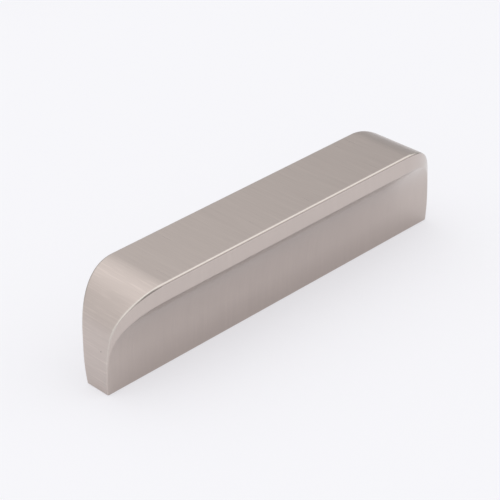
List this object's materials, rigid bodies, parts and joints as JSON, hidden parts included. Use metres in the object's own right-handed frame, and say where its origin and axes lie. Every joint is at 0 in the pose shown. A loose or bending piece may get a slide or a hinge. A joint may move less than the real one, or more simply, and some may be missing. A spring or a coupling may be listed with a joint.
{
  "type": "cabinet pull",
  "caption": "Solid cabinet pull with a flat top, rounded shoulders, slightly bowed ends and long sides scooped in under a lip, fixed by screws from behind.",
  "frame": {"origin": "centre of the flat mounting face, midway between the screw holes, which is also the bottom centre of the part", "axes": "+X along the pull through both screw holes, +Y across it, +Z away from the drawer front towards the flat top"},
  "size_m": [0.1082, 0.0188, 0.026],
  "materials": {
    "brushed_nickel": "brushed nickel plate, satin: brush lines run across the top and the ends, and from top to foot on the long sides"
  },
  "bodies": {
    "root": {"pull_body": "brushed_nickel"}
  },
  "joints": []
}
